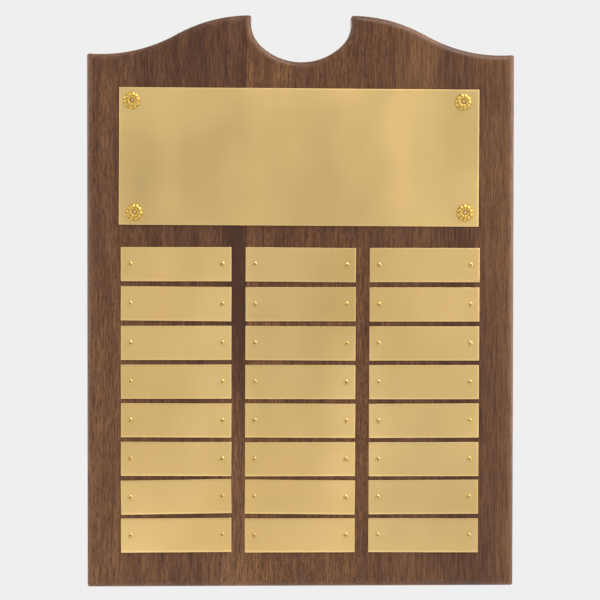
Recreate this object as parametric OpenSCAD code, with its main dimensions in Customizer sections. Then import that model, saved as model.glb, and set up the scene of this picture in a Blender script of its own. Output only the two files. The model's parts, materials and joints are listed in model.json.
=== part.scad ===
// Perpetual award plaque: a wall board glued up from three walnut staves, with a scrolled top,
// a brass header plate under four rosettes, and a grid of pinned brass name plates.
// The board stands in the X-Z plane. Its back face is at y = 0 and its front looks along -Y.
// The origin is the centre of the back face.

/* [Board] */
// Width of the board
board_w = 279; // [220:0.5:360]
// Height of the board, to the tips of its two horns
board_h = 373.5; // [300:0.5:460]
// Thickness of the board
board_t = 19; // [15:0.5:30]
// Height of the horn tips above the low shoulders, where the top edge meets the sides
horn_rise = 25.5; // [18:0.5:40]
// Distance from each side to the lowest point of the shoulder
shoulder_in = 9; // [4:0.5:20]
// Radius of the round-over along the front edge
edge_r = 4.8; // [2:0.1:7]
// Radius of the corners in the outline
corner_r = 1.6; // [0.5:0.1:4]
// Where the left glue line runs, from the centre line
left_glue_x = -35.5; // [-60:0.5:-10]
// Where the right glue line runs, from the centre line
right_glue_x = 62; // [10:0.5:64]

/* [Notch] */
// Width of the notch between the horns
notch_w = 65.5; // [50:0.5:80]
// Depth of the notch below the horn tips
notch_depth = 30.4; // [24:0.2:40]
// Height from the widest line of the notch to the horn tips
notch_lip = 4.7; // [2:0.1:8]
// Radius of the two sides of the notch
notch_side_r = 21; // [10:0.5:23]

/* [Header plate] */
// Margin from the header plate to each side of the board
header_margin = 22.3; // [12:0.1:40]
// Height of the header plate
header_h = 89.2; // [60:0.1:110]
// Margin from the shoulders down to the header plate
head_margin = 22.6; // [14:0.1:30]
// How far the header plate sits to the right of the centre line
header_shift = -1.2; // [-1.5:0.1:1.5]
// Turn of the header plate, in degrees clockwise from the front
header_tilt = 0.25; // [-0.6:0.05:0.6]
// Inset of the rosettes from the header plate's short sides
rosette_inset = 8.7; // [7:0.1:14]
// Inset of the rosettes from the header plate's long sides
rosette_drop = 8.4; // [7:0.1:14]

/* [Name plates] */
// Number of rows of name plates
rows = 8; // [4:1:9]
// Number of columns of name plates
cols = 3; // [2:1:3]
// Margin from the name plates to each side of the board
side_margin = 22.7; // [12:0.1:40]
// Margin from the name plates to the bottom of the board
bottom_margin = 22.5; // [10:0.1:40]
// Gap between the header plate and the first row
header_gap = 14.8; // [6:0.1:30]
// Gap between two rows
row_gap = 3; // [1.5:0.05:6]
// Gap between two columns
col_gap = 9; // [4:0.1:16]
// How far the name plates sit to the right of the centre line
grid_shift = -0.5; // [-1.5:0.1:1.5]
// How far each row was pinned above its even place
row_rise = [0.5, 0, -0.25, -0.3, -0.3, -0.25, 0.2, 0.35];
// How far each column was pinned above its even place
col_rise = [0.25, -0.05, -0.2];
// How far each column leans, in degrees clockwise from the front
col_lean = [0, 0.17, 0.23];
// Thickness of all the brass plates
plate_t = 0.8; // [0.5:0.1:1.6]
// Radius of the corners of the brass plates
plate_corner_r = 0.4; // [0.2:0.1:1.5]
// Inset of the pins from the ends of a name plate
pin_inset = 6; // [4:0.1:10]
// Plates that were pinned slightly askew: row, column, degrees clockwise
skewed_plates = [
    [2, 1, 0.5], [5, 1, 0.3], [6, 1, 0.3], [7, 1, -0.8], [8, 1, -0.2],
    [1, 2, 0.5], [3, 2, 0.4], [4, 2, 0.2], [5, 2, 0.4], [7, 2, 0.7],
    [5, 3, -0.2], [7, 3, -0.2], [8, 3, 0.3]
];

/* [Pins and rosettes] */
// Diameter of a pin's shank
pin_d = 1.3; // [1:0.05:1.8]
// Diameter of a name plate pin's head
pin_head_d = 3.5; // [2.8:0.1:4.5]
// Height of a name plate pin's head
pin_head_h = 0.9; // [0.5:0.05:1.4]
// Length of a pin under its head
pin_len = 9.5; // [6:0.5:12]
// Diameter of a rosette
rosette_d = 11.2; // [8:0.1:13]
// Height of a rosette at the crest of its petals
rosette_h = 2; // [1.2:0.1:3]
// Number of petals on a rosette
petals = 10; // [6:1:12]
// Diameter of a rosette pin's head
rosette_pin_head_d = 2.5; // [2:0.1:2.8]
// Height of a rosette pin's head
rosette_pin_head_h = 0.8; // [0.4:0.1:1]
// How far each rosette sits to the right of and above its even place: the top two, then the bottom two
rosette_slips = [[-0.6, -0.2], [-1.8, 0.3], [1.3, -0.4], [-0.3, 0.5]];

/* [Hangers] */
// Distance between the two keyhole hangers
hanger_spacing = 178; // [150:1:190]
// Distance from the shoulders down to the hangers' centres
hanger_drop = 42; // [30:1:150]
// Length of a hanger plate
hanger_len = 44.5; // [42:0.5:52]
// Width of a hanger plate
hanger_w = 16; // [14:0.5:20]
// Thickness of a hanger plate
hanger_t = 1.6; // [1:0.1:2]
// Radius of the keyhole's entry
keyhole_r = 4.5; // [4:0.1:5]
// Width of the keyhole's slot
keyhole_slot_w = 4.6; // [3.6:0.1:5]
// Travel from the keyhole's entry to the end of its slot
keyhole_travel = 10; // [8:0.5:11]
// Depth of the pocket for the wall screw's head, from the back face
pocket_depth = 10; // [6:0.5:10]
// Inset of the fixing screws from the ends of a hanger
hanger_screw_inset = 5.25; // [5:0.05:6]
// Diameter of a fixing screw's shank
screw_d = 2.8; // [2:0.1:3.2]
// Diameter of a fixing screw's head
screw_head_d = 5.6; // [4.6:0.1:6]
// Length of a fixing screw
screw_len = 11; // [8:0.5:12]

/* [Hidden] */
$fn = 48;
arris = 0.2; // least corner radius on the inner rings of the round-over
pin_clear = 0.1; // round a pin's shank, in plates and rosettes
wood_clear = 0.03; // round a shank or a screw, in the wood
seat_clear = 0.1; // round a screw head in its countersink, and round a pin head in a rosette
recess_clear = 0.25; // round a hanger plate in its recess
pocket_clear = 2; // round the wall screw's head in the pocket
pocket_over = 2; // how far the pocket runs on past the ends of the keyhole
hole_extra = 1; // how far a hole goes past the tip of what it holds
cut = 1; // how far a cutting shape stands proud of the face it cuts
side_arc_share = 0.85; // most of the notch's drop that its side arcs may take
pin_tip_share = 0.25; // a pin's flat tip, of its shank
screw_tip_share = 0.2; // a screw's flat tip, of its shank
screw_point_share = 1.5; // length of a screw's point, of its shank's diameter
driver_slot_w = 0.8; // width and depth of the slot in a screw's head
groove_r = 0.3; // half the depth that a groove takes between two petals
crest_share = 0.34; // radius of a rosette's crest, of its diameter
rim_share = 0.25; // heights on a rosette, of its crest
flank_share = 0.82;
shelf_share = 0.92;
seat_share = 0.6;

base_z = -board_h / 2;
shoulder_h = board_h - horn_rise;
shoulder_z = base_z + shoulder_h;
horn_z = board_h / 2;
front_y = -board_t;

// The top edge is an ogee: two equal arcs, the outer one hollow and the inner one full.
ogee_run = board_w / 2 - shoulder_in - notch_w / 2;
ogee_r = (ogee_run ^ 2 + horn_rise ^ 2) / (4 * horn_rise);
hollow_c = [board_w / 2 - shoulder_in, shoulder_z + ogee_r];
full_c = [notch_w / 2, horn_z - ogee_r];

// The notch is a three-centred arch: a side arc at each end of a flatter bottom arc.
notch_half = notch_w / 2;
notch_drop = notch_depth - notch_lip;
side_r = min(notch_side_r, side_arc_share * notch_drop);
bottom_r = (notch_half ^ 2 + notch_drop ^ 2 - 2 * notch_half * side_r) / (2 * (notch_drop - side_r));
side_c = [notch_half - side_r, horn_z - notch_lip];
bottom_c = [0, horn_z - notch_depth + bottom_r];

header_w = board_w - 2 * header_margin;
header_z = shoulder_z - head_margin - header_h / 2;
grid_w = board_w - 2 * side_margin;
grid_top = shoulder_h - head_margin - header_h - header_gap;
name_w = (grid_w - (cols - 1) * col_gap) / cols;
name_h = (grid_top - bottom_margin - (rows - 1) * row_gap) / rows;

hanger_z = shoulder_z - hanger_drop;
pocket_w = 2 * (keyhole_r + pocket_clear);
hanger_screw_spacing = hanger_len - 2 * hanger_screw_inset;

function dir(v) = atan2(v.y, v.x);
function arc(c, r, from, to, steps) =
    [for (i = [0:steps]) let (a = from + (to - from) * i / steps) c + r * [cos(a), sin(a)]];
function tail(list) = [for (i = [1:len(list) - 1]) list[i]];

// Where two circles cross, on the right of the line from the first centre to the second.
function crossing(c1, r1, c2, r2) =
    let (v = c2 - c1, gap = norm(v), along = (gap ^ 2 + r1 ^ 2 - r2 ^ 2) / (2 * gap))
    c1 + v * along / gap + [v.y, -v.x] * sqrt(r1 ^ 2 - along ^ 2) / gap;

// Right half of the board's outline, inset by a distance, from the bottom edge round to the notch.
function half_outline(inset) =
    let (
        half_w = board_w / 2 - inset,
        r = max(corner_r - inset, arris),
        foot = [half_w - r, base_z + inset + r],
        hollow_r = ogee_r + inset,
        full_r = ogee_r - inset,
        shoulder_x = half_w - r,
        shoulder = [shoulder_x, hollow_c.y - sqrt((hollow_r + r) ^ 2 - (shoulder_x - hollow_c.x) ^ 2)],
        horn = crossing(full_c, full_r - r, side_c, side_r + inset + r),
        to_hollow = dir(hollow_c - shoulder),
        ogee_turn = dir(hollow_c - full_c),
        horn_side = dir(horn - side_c),
        notch_turn = dir(side_c - bottom_c)
    )
    concat(
        arc(foot, r, -90, 0, 4),
        arc(shoulder, r, 0, to_hollow, 4),
        tail(arc(hollow_c, hollow_r, 180 + to_hollow, 180 + ogee_turn, 18)),
        tail(arc(full_c, full_r, ogee_turn, dir(horn - full_c), 18)),
        tail(arc(horn, r, dir(horn - full_c), 180 + horn_side, 4)),
        tail(arc(side_c, side_r + inset, horn_side, notch_turn, 12)),
        tail(arc(bottom_c, bottom_r + inset, notch_turn, -90, 10))
    );

function outline(inset) =
    let (right = half_outline(inset))
    concat(right, [for (i = [len(right) - 2:-1:0]) [-right[i].x, right[i].y]]);

// Each ring of the round-over: how far it is inset, and how far it stands from the back face.
// The first ring lies behind the back face and the last one in front of the front face, so that
// a slab cuts both faces flat and leaves a faint arris where the round-over meets the front.
round_steps = 6;
last_shortfall = edge_r * (1 - sin(90 * (round_steps - 1) / round_steps));
rings = concat(
    [[0, -cut]],
    [for (i = [0:round_steps - 1]) let (a = 90 * i / round_steps)
        [edge_r * (1 - cos(a)), board_t - edge_r * (1 - sin(a))]],
    [[edge_r, board_t + last_shortfall]]
);

function entry(list, number) = number <= len(list) ? list[number - 1] : 0;
function even_z(row) = base_z + grid_top - name_h / 2 - (row - 1) * (name_h + row_gap);
function even_x(col) = grid_shift + (col - (cols + 1) / 2) * (name_w + col_gap);
function row_z(row, col) = even_z(row) + entry(row_rise, row) + entry(col_rise, col);
function col_x(row, col) =
    even_x(col) + tan(entry(col_lean, col)) * (even_z(row) - (even_z(1) + even_z(rows)) / 2);
function tilt(row, col) =
    let (hits = [for (s = skewed_plates) if (s[0] == row && s[1] == col) s[2]])
    len(hits) > 0 ? hits[0] : 0;
function name_node(row, col) = str("name_plate_r", row, "_c", col);

// Local X is right, local Y is up, and local Z comes out of the board's front.
module stand(x, y, z, turn = 0) {
    translate([x, y, z]) rotate([0, turn, 0]) rotate([90, 0, 0]) children();
}

module at_name_plate(row, col) {
    stand(col_x(row, col), front_y, row_z(row, col), tilt(row, col)) children();
}

module at_name_pins(row, col) {
    at_name_plate(row, col) for (side = [-1, 1]) translate([side * (name_w / 2 - pin_inset), 0, 0]) children();
}

module at_header() {
    stand(header_shift, front_y, header_z, header_tilt) children();
}

function rosette_place(side, level) =
    let (number = (level > 0 ? 0 : 2) + (side > 0 ? 1 : 0))
    [side * (header_w / 2 - rosette_inset), level * (header_h / 2 - rosette_drop)] + rosette_slips[number];

module at_rosette(side, level) {
    at_header() translate(rosette_place(side, level)) children();
}

module at_rosettes() {
    for (side = [-1, 1], level = [-1, 1]) at_rosette(side, level) children();
}

// From the back face into the board.
module at_hanger(side) {
    stand(side * hanger_spacing / 2, 0, hanger_z) children();
}

module at_hanger_screws(side) {
    at_hanger(side) for (end = [-1, 1]) translate([0, end * hanger_screw_spacing / 2, 0]) children();
}

// A slot-shaped outline with round ends, upright and centred.
module slot_2d(width, length) {
    square([width, length - width], center = true);
    for (end = [-1, 1]) translate([0, end * (length - width) / 2]) circle(d = width);
}

// The keyhole: a round entry at the bottom and a narrow slot going up from it.
module keyhole_2d(entry_r, slot_w) {
    translate([0, -keyhole_travel / 2]) circle(r = entry_r);
    slot_2d(slot_w, keyhole_travel + slot_w);
}

// The board's outline with its rounded edge, longer than the board at the back and at the front.
module board_loft() {
    count = len(outline(0));
    points = [for (ring = rings) for (p = outline(ring[0])) [p.x, -ring[1], p.y]];
    last = len(rings) - 1;
    back = [for (i = [0:count - 1]) i];
    front = [for (i = [count - 1:-1:0]) last * count + i];
    walls = [
        for (k = [0:last - 1], i = [0:count - 1])
            let (
                next = (i + 1) % count,
                near = [(k + 1) * count + i, (k + 1) * count + next],
                far = [k * count + i, k * count + next]
            )
            each [[near[0], near[1], far[1]], [near[0], far[1], far[0]]]
    ];
    polyhedron(points, concat([back, front], walls), convexity = 6);
}

module pilot_holes() {
    depth = pin_len - plate_t + hole_extra;
    for (row = [1:rows], col = [1:cols])
        at_name_pins(row, col) translate([0, 0, -depth]) cylinder(d = pin_d + 2 * wood_clear, h = depth + cut);
    rosette_depth = pin_len - plate_t - rosette_seat_h() + hole_extra;
    at_rosettes() translate([0, 0, -rosette_depth])
        cylinder(d = pin_d + 2 * wood_clear, h = rosette_depth + cut);
}

// A 90 degree head is as deep as it stands out past the shank.
function screw_cone_h() = (screw_head_d - screw_d) / 2;

// Countersink and pilot hole for a fixing screw, from the back face inwards.
module screw_hole(shank_clear) {
    cylinder(d1 = screw_head_d + 2 * seat_clear, d2 = screw_d + 2 * seat_clear, h = screw_cone_h());
    translate([0, 0, -cut]) cylinder(d = screw_d + 2 * shank_clear, h = screw_len + hole_extra + cut);
}

// Recess, screw-head pocket and screw holes of one hanger.
module hanger_cuts(side) {
    at_hanger(side) {
        translate([0, 0, -cut]) linear_extrude(hanger_t + cut)
            slot_2d(hanger_w + 2 * recess_clear, hanger_len + 2 * recess_clear);
        translate([0, 0, -cut]) linear_extrude(pocket_depth + cut)
            slot_2d(pocket_w, pocket_w + keyhole_travel + 2 * pocket_over);
    }
    at_hanger_screws(side) screw_hole(wood_clear);
}

module stave(from_x, to_x) {
    difference() {
        intersection() {
            board_loft();
            translate([from_x, front_y, base_z - cut]) cube([to_x - from_x, board_t, board_h + 2 * cut]);
        }
        pilot_holes();
        for (side = [-1, 1]) hanger_cuts(side);
    }
}

module board_stave_left() {
    color("#6b4a34") stave(-board_w / 2 - cut, left_glue_x);
}

module board_stave_centre() {
    color("#7a563d") stave(left_glue_x, right_glue_x);
}

module board_stave_right() {
    color("#735139") stave(right_glue_x, board_w / 2 + cut);
}

module plate_2d(width, height) {
    inner = [width - 2 * plate_corner_r, height - 2 * plate_corner_r];
    square([width, inner.y], center = true);
    square([inner.x, height], center = true);
    for (x = [-1, 1], y = [-1, 1]) translate([x * inner.x / 2, y * inner.y / 2]) circle(r = plate_corner_r);
}

module header_plate() {
    color("#d1b277") at_header() difference() {
        linear_extrude(plate_t) plate_2d(header_w, header_h);
        for (side = [-1, 1], level = [-1, 1]) translate(rosette_place(side, level)) translate([0, 0, -cut])
            cylinder(d = pin_d + 2 * pin_clear, h = plate_t + 2 * cut);
    }
}

module name_plate(row, col) {
    color("#d0ae72") at_name_plate(row, col) difference() {
        linear_extrude(plate_t) plate_2d(name_w, name_h);
        for (side = [-1, 1]) translate([side * (name_w / 2 - pin_inset), 0, -cut])
            cylinder(d = pin_d + 2 * pin_clear, h = plate_t + 2 * cut);
    }
}

// A pin with a domed head. Its head seats at z = 0 and its point runs into the wood.
module pin(head_d, head_h) {
    dome_r = ((head_d / 2) ^ 2 + head_h ^ 2) / (2 * head_h);
    point_h = pin_d;
    intersection() {
        translate([0, 0, head_h - dome_r]) sphere(r = dome_r);
        cylinder(d = head_d + cut, h = head_h + cut);
    }
    translate([0, 0, point_h - pin_len]) cylinder(d = pin_d, h = pin_len - point_h + head_h / 2);
    translate([0, 0, -pin_len]) cylinder(d1 = pin_tip_share * pin_d, d2 = pin_d, h = point_h);
}

module name_plate_pins() {
    color("#b8935a") for (row = [1:rows], col = [1:cols])
        at_name_pins(row, col) translate([0, 0, plate_t]) pin(pin_head_d, pin_head_h);
}

// Height of the seat for the pin's head in the middle of a rosette.
function rosette_seat_h() = seat_share * rosette_h;

module rosette(side, level) {
    bore_r = pin_d / 2 + pin_clear;
    seat_r = rosette_pin_head_d / 2 + seat_clear;
    crest_r = crest_share * rosette_d;
    rim_r = rosette_d / 2;
    color("#e8c65a") at_rosette(side, level) translate([0, 0, plate_t]) difference() {
        rotate_extrude() polygon([
            [bore_r, 0], [rim_r, 0], [rim_r, rim_share * rosette_h],
            [(rim_r + crest_r) / 2, flank_share * rosette_h], [crest_r, rosette_h],
            [(seat_r + crest_r) / 2, shelf_share * rosette_h],
            [seat_r, rosette_seat_h()], [bore_r, rosette_seat_h()]
        ]);
        for (i = [1:petals]) rotate(360 * i / petals) translate([crest_r, 0, rosette_h + groove_r / 2])
            rotate([0, 90, 0]) cylinder(r = 2 * groove_r, h = rosette_d);
    }
}

module rosette_pins() {
    color("#b08a62") at_rosettes() translate([0, 0, plate_t + rosette_seat_h()])
        pin(rosette_pin_head_d, rosette_pin_head_h);
}

module keyhole_hanger(side) {
    color("#b4b6b8") at_hanger(side) difference() {
        linear_extrude(hanger_t) difference() {
            slot_2d(hanger_w, hanger_len);
            keyhole_2d(keyhole_r, keyhole_slot_w);
        }
        for (end = [-1, 1]) translate([0, end * hanger_screw_spacing / 2, 0]) screw_hole(seat_clear);
    }
}

module hanger_screw() {
    point_h = screw_point_share * screw_d;
    difference() {
        union() {
            cylinder(d1 = screw_head_d, d2 = screw_d, h = screw_cone_h());
            cylinder(d = screw_d, h = screw_len - point_h);
            translate([0, 0, screw_len - point_h]) cylinder(d1 = screw_d, d2 = screw_tip_share * screw_d, h = point_h);
        }
        translate([-screw_head_d / 2, -driver_slot_w / 2, -cut])
            cube([screw_head_d, driver_slot_w, cut + driver_slot_w]);
    }
}

module hanger_screws() {
    color("#a9a294") for (side = [-1, 1]) at_hanger_screws(side) hanger_screw();
}

board_stave_left();
board_stave_centre();
board_stave_right();
header_plate();
for (row = [1:rows], col = [1:cols])
    name_plate(row, col);
name_plate_pins();
rosette(-1, 1);  // rosette_top_left
rosette(1, 1);  // rosette_top_right
rosette(-1, -1);  // rosette_bottom_left
rosette(1, -1);  // rosette_bottom_right
rosette_pins();
keyhole_hanger(-1);  // keyhole_hanger_left
keyhole_hanger(1);  // keyhole_hanger_right
hanger_screws();
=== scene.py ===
import json
import math
import random

import bpy
from mathutils import Matrix, Vector

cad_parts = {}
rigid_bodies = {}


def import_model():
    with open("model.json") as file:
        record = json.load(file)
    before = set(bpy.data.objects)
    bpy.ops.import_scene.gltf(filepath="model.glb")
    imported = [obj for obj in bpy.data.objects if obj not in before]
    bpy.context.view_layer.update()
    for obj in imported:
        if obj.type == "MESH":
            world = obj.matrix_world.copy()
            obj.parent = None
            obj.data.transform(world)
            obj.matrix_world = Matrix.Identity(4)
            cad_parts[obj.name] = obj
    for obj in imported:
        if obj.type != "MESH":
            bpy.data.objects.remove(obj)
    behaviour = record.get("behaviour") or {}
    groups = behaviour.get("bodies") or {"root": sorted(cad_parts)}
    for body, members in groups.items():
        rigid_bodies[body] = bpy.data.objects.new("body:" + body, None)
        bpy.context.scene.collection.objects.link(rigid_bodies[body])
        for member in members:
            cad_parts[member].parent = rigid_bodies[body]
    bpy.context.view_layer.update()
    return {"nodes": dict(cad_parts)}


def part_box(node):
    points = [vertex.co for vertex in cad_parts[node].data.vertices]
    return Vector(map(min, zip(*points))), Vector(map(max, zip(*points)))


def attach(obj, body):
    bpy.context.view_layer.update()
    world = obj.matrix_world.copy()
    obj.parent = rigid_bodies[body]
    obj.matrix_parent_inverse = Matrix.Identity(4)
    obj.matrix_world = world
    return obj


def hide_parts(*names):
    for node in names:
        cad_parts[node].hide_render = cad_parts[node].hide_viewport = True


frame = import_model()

mm = 0.001
wallBody = "root"

# the empty scene may come with a cube, a lamp and a camera of its own
for stray in [o for o in bpy.data.objects if o.name in ("Cube", "Light", "Camera")]:
    bpy.data.objects.remove(stray)


def selectOnly(*pieces):
    if bpy.context.object and bpy.context.object.mode != "OBJECT":
        bpy.ops.object.mode_set(mode="OBJECT")
    bpy.ops.object.select_all(action="DESELECT")
    for piece in pieces:
        piece.select_set(True)
    if pieces:
        bpy.context.view_layer.objects.active = pieces[-1]


def editAll(piece):
    selectOnly(piece)
    bpy.ops.object.mode_set(mode="EDIT")
    bpy.ops.mesh.select_all(action="SELECT")


def rename(piece, name):
    piece.name = piece.data.name = name
    return piece


def copyOf(piece, name):
    selectOnly(piece)
    bpy.ops.object.duplicate()
    return rename(bpy.context.object, name)


def applyAll(piece):
    selectOnly(piece)
    for modifier in list(piece.modifiers):
        bpy.ops.object.modifier_apply(modifier=modifier.name)


def carve(piece, cutter):
    cut = piece.modifiers.new("carve", "BOOLEAN")
    cut.operation = "DIFFERENCE"
    cut.solver = "EXACT"
    cut.object = cutter
    applyAll(piece)
    bpy.data.objects.remove(cutter)


def softenEdges(piece, width, segments=2, angle=40):
    bevel = piece.modifiers.new("soften", "BEVEL")
    bevel.width = width
    bevel.segments = segments
    bevel.limit_method = "ANGLE"
    bevel.angle_limit = math.radians(angle)
    bevel.harden_normals = False
    applyAll(piece)


def smooth(piece, angle=35):
    selectOnly(piece)
    bpy.ops.object.shade_smooth_by_angle(angle=math.radians(angle))


def finishPiece(piece, slotName, material, *nodes):
    piece.data.materials.clear()
    piece.data.materials.append(material)
    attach(piece, wallBody)
    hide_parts(*nodes)
    return piece


def startPen(name, x, y, z):
    selectOnly()
    bpy.ops.mesh.primitive_plane_add(size=mm)
    piece = rename(bpy.context.object, name)
    bpy.ops.object.mode_set(mode="EDIT")
    bpy.ops.mesh.select_mode(type="VERT")
    bpy.ops.mesh.merge(type="CENTER")
    bpy.ops.transform.translate(value=(x, y, z))
    return piece


def liftPen(x, y, z):
    bpy.ops.mesh.select_all(action="DESELECT")
    bpy.ops.mesh.primitive_plane_add(size=mm)
    bpy.ops.mesh.merge(type="CENTER")
    bpy.ops.transform.translate(value=(x, y, z))


def drawLine(dx, dy, dz):
    bpy.ops.mesh.extrude_region_move(TRANSFORM_OT_translate={"value": (dx, dy, dz)})


def drawArc(centre, sweep, steps):
    # centre is (x, z), and a positive sweep turns anticlockwise as seen from the front
    bpy.ops.mesh.spin(steps=steps, angle=sweep, center=(centre[0], 0, centre[1]), axis=(0, 1, 0))


def closeOutline():
    bpy.ops.mesh.select_all(action="SELECT")
    bpy.ops.mesh.remove_doubles(threshold=mm / 80)


def finishSolid(piece):
    bpy.ops.mesh.select_all(action="SELECT")
    bpy.ops.mesh.normals_make_consistent(inside=False)
    bpy.ops.object.mode_set(mode="OBJECT")
    return piece


def pullOut(piece, depth):
    # close the drawn outline and give it depth, towards the front
    closeOutline()
    bpy.ops.mesh.edge_face_add()
    drawLine(0, -depth, 0)
    return finishSolid(piece)


def lathe(name, profile, steps):
    # profile is a list of (radius, height); the axis is local Z
    piece = startPen(name, profile[0][0], 0, profile[0][1])
    for last, point in zip(profile, profile[1:]):
        drawLine(point[0] - last[0], 0, point[1] - last[1])
    bpy.ops.mesh.select_all(action="SELECT")
    bpy.ops.mesh.spin(steps=steps, angle=math.tau, center=(0, 0, 0), axis=(0, 0, 1))
    closeOutline()
    return finishSolid(piece)


def nodeVertices(node):
    return [v.co.copy() for v in frame["nodes"][node].data.vertices]


def plateFrame(node):
    # centre, turn (clockwise from the front), width and height of a flat plate of the frame
    points = [Vector((v.x, v.z)) for v in nodeVertices(node)]
    topLeft = max(points, key=lambda p: p.y - p.x)
    topRight = max(points, key=lambda p: p.y + p.x)
    edge = topRight - topLeft
    turn = -math.atan2(edge.y, edge.x)
    level = Matrix.Rotation(turn, 2)
    flat = [level @ p for p in points]
    low = Vector((min(p.x for p in flat), min(p.y for p in flat)))
    high = Vector((max(p.x for p in flat), max(p.y for p in flat)))
    centre = level.inverted() @ ((low + high) / 2)
    return dict(x=centre.x, z=centre.y, turn=turn, width=high.x - low.x, height=high.y - low.y)


def clusters(points, reach):
    # points that lie within reach of the first one of their group
    groups = []
    for p in points:
        home = next((g for g in groups if (g[0] - p).length < reach), None)
        if home:
            home.append(p)
        else:
            groups.append([p])
    return groups


def headCentres(node, beyond, reach):
    # the middle of each head in a group of pins or screws: beyond() picks a head's own vertices
    centres = []
    for head in clusters([v for v in nodeVertices(node) if beyond(v)], reach):
        xs, zs = [p.x for p in head], [p.z for p in head]
        centres.append(((min(xs) + max(xs)) / 2, (min(zs) + max(zs)) / 2))
    return centres


def onFace(x, z, y, turn=0.0):
    # local X is right, local Y is up and local Z comes out of the front
    upright = Matrix.Rotation(turn, 4, "Y") @ Matrix.Rotation(math.pi / 2, 4, "X")
    return Matrix.Translation((x, y, z)) @ upright


def onBack(x, z):
    # local Z comes out of the back
    return Matrix.Translation((x, 0, z)) @ Matrix.Rotation(-math.pi / 2, 4, "X")


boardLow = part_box("board_stave_left")[0]
boardHigh = Vector((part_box("board_stave_right")[1].x, 0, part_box("board_stave_centre")[1].z))
frontY = boardLow.y
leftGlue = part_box("board_stave_centre")[0].x
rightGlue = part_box("board_stave_centre")[1].x
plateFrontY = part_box("header_plate")[0].y
plateThickness = frontY - plateFrontY
print("stage 1: frame read")


def linear(r, g, b):
    # a display colour, 0 to 255, as the linear colour that shaders take
    shares = [c / 255 for c in (r, g, b)]
    return tuple(c / 12.92 if c <= 0.04045 else ((c + 0.055) / 1.055) ** 2.4 for c in shares) + (1.0,)


def addNode(tree, kind, values=None, **settings):
    node = tree.nodes.new(kind)
    for key, value in settings.items():
        setattr(node, key, value)
    for key, value in (values or {}).items():
        node.inputs[key].default_value = value
    return node


def wire(tree, fromNode, output, toNode, socket):
    tree.links.new(fromNode.outputs[output], toNode.inputs[socket])


def mathNode(tree, operation, first, second=None, clamp=False):
    node = addNode(tree, "ShaderNodeMath", operation=operation, use_clamp=clamp)
    for index, value in enumerate((first, second)):
        if value is None:
            continue
        if isinstance(value, (int, float)):
            node.inputs[index].default_value = value
        else:
            tree.links.new(value, node.inputs[index])
    return node.outputs[0]


def stretchedNoise(tree, vector, scale, detail=3.0, roughness=0.5):
    # noise whose cells are 1/scale millimetres long on each axis
    grow = addNode(tree, "ShaderNodeVectorMath", operation="MULTIPLY")
    grow.inputs[1].default_value = scale
    tree.links.new(vector, grow.inputs[0])
    noise = addNode(tree, "ShaderNodeTexNoise", {"Scale": 1.0, "Detail": detail, "Roughness": roughness})
    wire(tree, grow, 0, noise, "Vector")
    return noise


def mapRange(tree, value, fromMin, fromMax, toMin=0.0, toMax=1.0, smoothStep=False):
    node = addNode(
        tree, "ShaderNodeMapRange",
        {"From Min": fromMin, "From Max": fromMax, "To Min": toMin, "To Max": toMax},
        interpolation_type="SMOOTHSTEP" if smoothStep else "LINEAR",
    )
    tree.links.new(value, node.inputs["Value"])
    return node.outputs["Result"]


noiseSpread = (0.3, 0.7)  # most of a noise lies between these


def centred(tree, value, strength):
    # a value from 0 to 1 as a swing either side of zero
    return mathNode(tree, "MULTIPLY", mathNode(tree, "SUBTRACT", value, 0.5), strength)


def newGroup(name, vectors, floats, outputs, outputKind="NodeSocketFloat"):
    # vectors and outputs are lists of names, and floats has a default for each name
    tree = bpy.data.node_groups.new(name, "ShaderNodeTree")
    for label in vectors:
        tree.interface.new_socket(name=label, in_out="INPUT", socket_type="NodeSocketVector")
    for label, value in floats.items():
        socket = tree.interface.new_socket(name=label, in_out="INPUT", socket_type="NodeSocketFloat")
        socket.default_value = value
    for label in outputs:
        tree.interface.new_socket(name=label, in_out="OUTPUT", socket_type=outputKind)
    return tree, tree.nodes.new("NodeGroupInput"), tree.nodes.new("NodeGroupOutput")


def placeGroup(tree, group, **values):
    node = tree.nodes.new("ShaderNodeGroup")
    node.node_tree = group
    for key, value in values.items():
        node.inputs[key].default_value = value
    return node


def startMaterial(name):
    material = bpy.data.materials.new(name)
    material.use_nodes = True
    tree = material.node_tree
    shader = tree.nodes["Principled BSDF"]
    coords = addNode(tree, "ShaderNodeTexCoord")
    return material, tree, shader, coords.outputs["Object"]


def mixColour(tree, factor, first, second, blend="MIX"):
    node = addNode(tree, "ShaderNodeMix", data_type="RGBA", blend_type=blend)
    sockets = [node.inputs[0], node.inputs[6], node.inputs[7]]  # the factor and the two colours
    for value, socket in zip((factor, first, second), sockets):
        if isinstance(value, (int, float, tuple)):
            socket.default_value = value
        else:
            tree.links.new(value, socket)
    return node.outputs[2]


def ramp(tree, value, stops):
    node = addNode(tree, "ShaderNodeValToRGB")
    elements = node.color_ramp.elements
    while len(elements) < len(stops):
        elements.new(0.5)
    for element, (position, colour) in zip(elements, stops):
        element.position = position
        element.color = colour
    tree.links.new(value, node.inputs["Fac"])
    return node.outputs["Color"]


seedSteps = (37.0, 11.0, 173.0)  # millimetres that one seed lies from the next


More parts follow.
